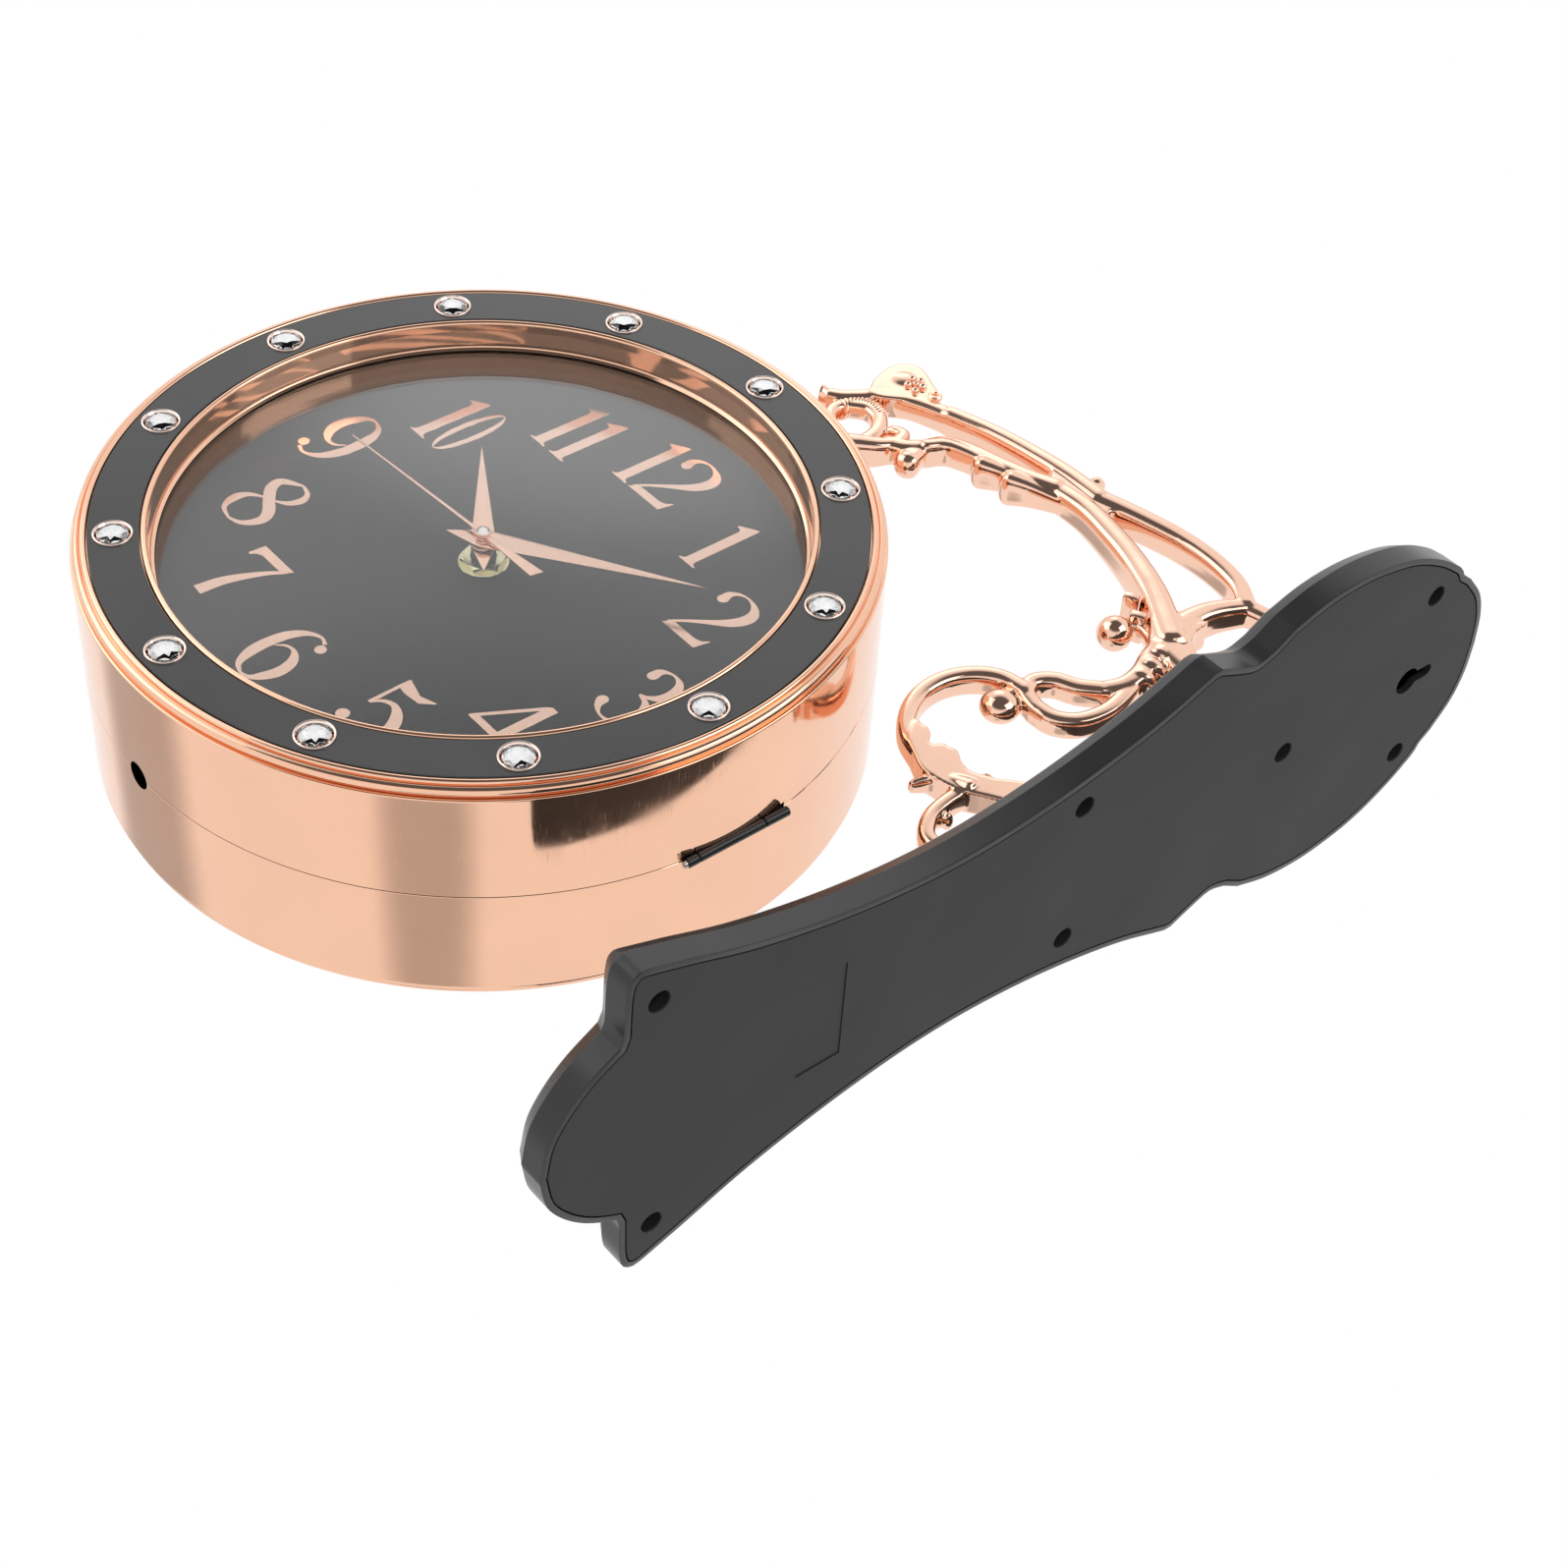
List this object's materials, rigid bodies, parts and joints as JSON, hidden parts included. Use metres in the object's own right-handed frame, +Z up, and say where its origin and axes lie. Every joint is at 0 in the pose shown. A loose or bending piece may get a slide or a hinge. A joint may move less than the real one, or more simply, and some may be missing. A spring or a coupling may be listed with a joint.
{
  "type": "wall clock",
  "caption": "Double sided round wall clock: a hinged drum with back to back dials, hung from a scrolled bracket on a shaped wall plate.",
  "frame": {"origin": "on the wall face of the back panel, at the height of the dial centres", "axes": "+Y out of the back of the plate into the wall, +Z up at 12 o'clock, +X out of the front dial"},
  "size_m": [0.1168, 0.3205, 0.3736],
  "materials": {
    "rose_gold_shell": "plated, polished rose gold",
    "rose_gold_metal": "plated, polished rose gold casting",
    "black_plastic": "satin moulded black",
    "black_panel": "matt moulded black",
    "black_hinge": "moulded black",
    "ring_black": "satin black",
    "dial_black": "matt black print",
    "lens_glass": "clear, domed",
    "crystal_glass": "cut, clear",
    "hand_rose": "rose gold lacquer",
    "nut_brass": "pale, turned",
    "movement_plastic": "moulded black",
    "battery_wrap": "plain sleeve",
    "screw_steel": "zinc plated"
  },
  "bodies": {
    "root": {"plate_cover": "black_plastic", "plate_back_panel": "black_panel", "plate_screw_1": "screw_steel", "plate_screw_2": "screw_steel", "plate_screw_3": "screw_steel", "plate_screw_4": "screw_steel", "plate_screw_5": "screw_steel", "plate_screw_6": "screw_steel", "bracket_screw": "screw_steel", "bracket_arm": "rose_gold_metal", "hanger_screw": "screw_steel", "hinge_pin": "screw_steel", "hinge_rear_leaf": "black_hinge", "rear_shell": "rose_gold_shell", "rear_face_ring": "ring_black", "rear_lens": "lens_glass", "rear_dial": "dial_black", "rear_movement": "movement_plastic", "rear_battery": "battery_wrap", "rear_dial_nut": "nut_brass", "rear_crystal_01": "crystal_glass", "rear_crystal_02": "crystal_glass", "rear_crystal_03": "crystal_glass", "rear_crystal_04": "crystal_glass", "rear_crystal_05": "crystal_glass", "rear_crystal_06": "crystal_glass", "rear_crystal_07": "crystal_glass", "rear_crystal_08": "crystal_glass", "rear_crystal_09": "crystal_glass", "rear_crystal_10": "crystal_glass", "rear_crystal_11": "crystal_glass", "rear_crystal_12": "crystal_glass"},
    "front_case": {"front_shell": "rose_gold_shell", "hinge_front_leaf": "black_hinge", "front_face_ring": "ring_black", "front_lens": "lens_glass", "front_dial": "dial_black", "front_movement": "movement_plastic", "front_battery": "battery_wrap", "front_dial_nut": "nut_brass", "front_crystal_01": "crystal_glass", "front_crystal_02": "crystal_glass", "front_crystal_03": "crystal_glass", "front_crystal_04": "crystal_glass", "front_crystal_05": "crystal_glass", "front_crystal_06": "crystal_glass", "front_crystal_07": "crystal_glass", "front_crystal_08": "crystal_glass", "front_crystal_09": "crystal_glass", "front_crystal_10": "crystal_glass", "front_crystal_11": "crystal_glass", "front_crystal_12": "crystal_glass"},
    "front_hour": {"front_hour_hand": "hand_rose"},
    "front_minute": {"front_minute_hand": "hand_rose"},
    "front_second": {"front_second_hand": "hand_rose"},
    "front_knob": {"front_set_knob": "movement_plastic"},
    "rear_hour": {"rear_hour_hand": "hand_rose"},
    "rear_minute": {"rear_minute_hand": "hand_rose"},
    "rear_second": {"rear_second_hand": "hand_rose"},
    "rear_knob": {"rear_set_knob": "movement_plastic"}
  },
  "joints": [
    {"name": "front_case_hinge", "type": "hinge", "parent": "root", "child": "front_case", "pos_m": [0, -0.0701, 0.002], "axis": [0, 0, 1], "range_deg": [0, 90]},
    {"name": "front_minute_turn", "type": "hinge", "parent": "front_case", "child": "front_minute", "pos_m": [0, -0.1955, 0], "axis": [-1, 0, 0], "continuous": true},
    {"name": "front_hour_turn", "type": "hinge", "parent": "front_case", "child": "front_hour", "pos_m": [0, -0.1955, 0], "axis": [-1, 0, 0], "continuous": true},
    {"name": "front_second_turn", "type": "hinge", "parent": "front_case", "child": "front_second", "pos_m": [0, -0.1955, 0], "axis": [-1, 0, 0], "continuous": true},
    {"name": "front_knob_turn", "type": "hinge", "parent": "front_case", "child": "front_knob", "pos_m": [0, -0.1815, 0.013], "axis": [-1, 0, 0], "continuous": true},
    {"name": "rear_minute_turn", "type": "hinge", "parent": "root", "child": "rear_minute", "pos_m": [0, -0.1955, 0], "axis": [1, 0, 0], "continuous": true},
    {"name": "rear_hour_turn", "type": "hinge", "parent": "root", "child": "rear_hour", "pos_m": [0, -0.1955, 0], "axis": [1, 0, 0], "continuous": true},
    {"name": "rear_second_turn", "type": "hinge", "parent": "root", "child": "rear_second", "pos_m": [0, -0.1955, 0], "axis": [1, 0, 0], "continuous": true},
    {"name": "rear_knob_turn", "type": "hinge", "parent": "root", "child": "rear_knob", "pos_m": [0, -0.2095, 0.013], "axis": [1, 0, 0], "continuous": true}
  ],
  "couplings": [
    {"joint": "front_hour_turn", "follows": "front_minute_turn", "ratio": 0.083333},
    {"joint": "front_knob_turn", "follows": "front_minute_turn", "ratio": -3},
    {"joint": "rear_hour_turn", "follows": "rear_minute_turn", "ratio": 0.083333},
    {"joint": "rear_knob_turn", "follows": "rear_minute_turn", "ratio": -3}
  ]
}
